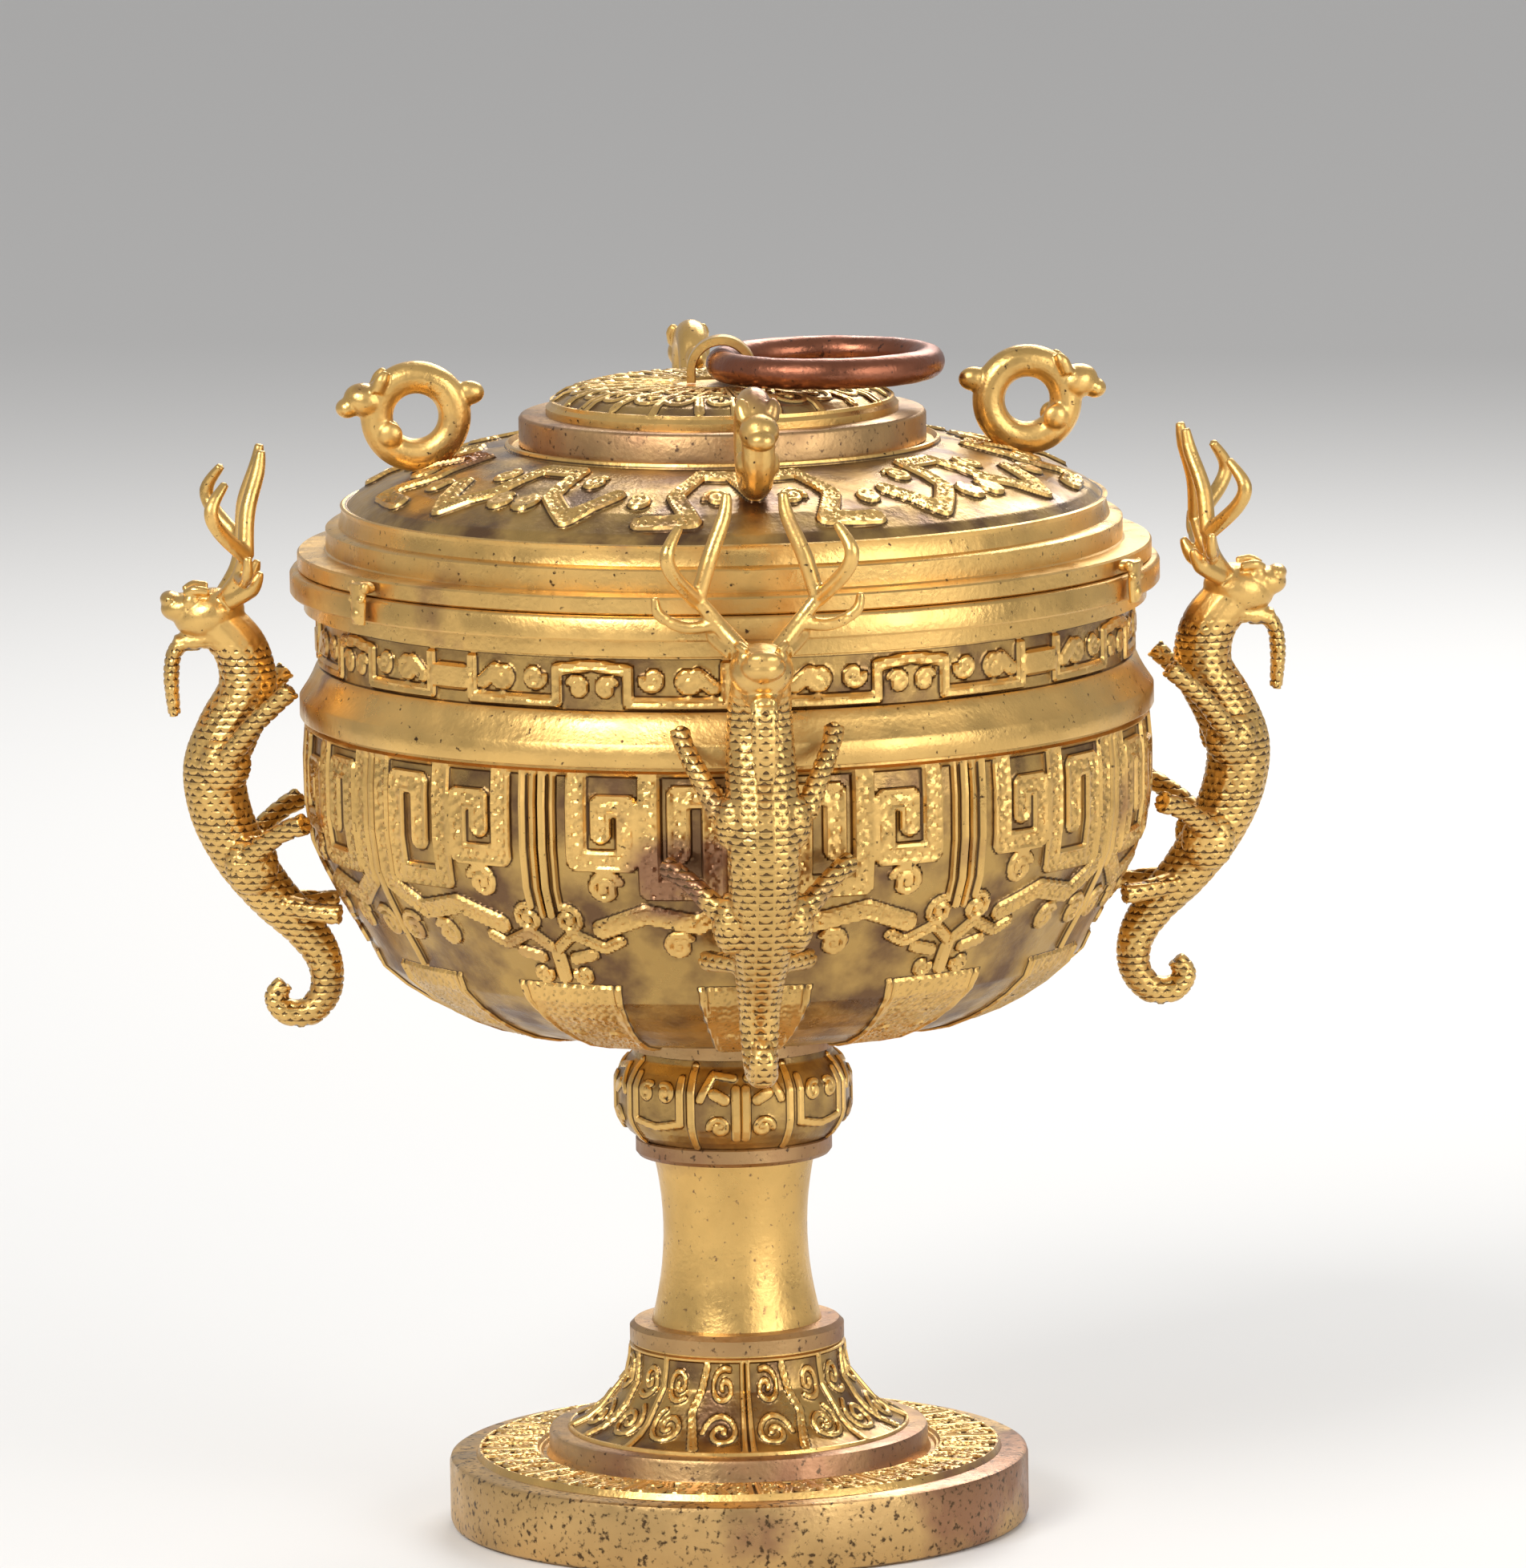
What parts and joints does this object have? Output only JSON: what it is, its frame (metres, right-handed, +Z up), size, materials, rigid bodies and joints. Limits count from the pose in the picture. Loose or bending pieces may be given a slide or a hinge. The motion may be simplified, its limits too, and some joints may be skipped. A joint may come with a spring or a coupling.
{
  "type": "covered stem cup",
  "caption": "Covered stem cup of gilt bronze on a round foot, with dragon handles, a lid with curled beast finials, clasps and a loose ring.",
  "frame": {"origin": "centre of the foot rim, on the surface that the cup stands on", "axes": "+Z up along the stem; -Y is the side the picture shows"},
  "size_m": [0.2334, 0.2334, 0.2468],
  "materials": {
    "gold": "gilt, worn",
    "worn_gold": "gilt, rubbed to the bronze",
    "copper": "dark copper brown"
  },
  "bodies": {
    "cup": {"plinth": "worn_gold", "plinth_frieze": "gold", "foot_step": "worn_gold", "foot_cone": "gold", "foot_collar": "worn_gold", "stem": "gold", "stem_collar": "worn_gold", "knob": "gold", "bowl_collar": "worn_gold", "stem_rod": "copper", "bowl": "gold", "dragon_front": "gold", "dragon_right": "gold", "dragon_back": "gold", "dragon_left": "gold"},
    "lid": {"lid_shell": "gold", "lid_top_step": "worn_gold", "lid_top_disc": "gold", "lid_loop": "gold", "finial_front": "gold", "finial_right": "gold", "finial_back": "gold", "finial_left": "gold", "clasp_left": "gold", "clasp_right": "gold", "clasp_back": "gold"},
    "ring": {"lid_ring": "copper"}
  },
  "joints": [
    {"name": "lid_lift", "type": "slide", "parent": "cup", "child": "lid", "axis": [0, 0, 1], "range_m": [0, 0.06]},
    {"name": "ring_swing", "type": "hinge", "parent": "lid", "child": "ring", "pos_m": [0, 0, 0.24085], "axis": [0, -1, 0], "range_deg": [0, 175]}
  ]
}
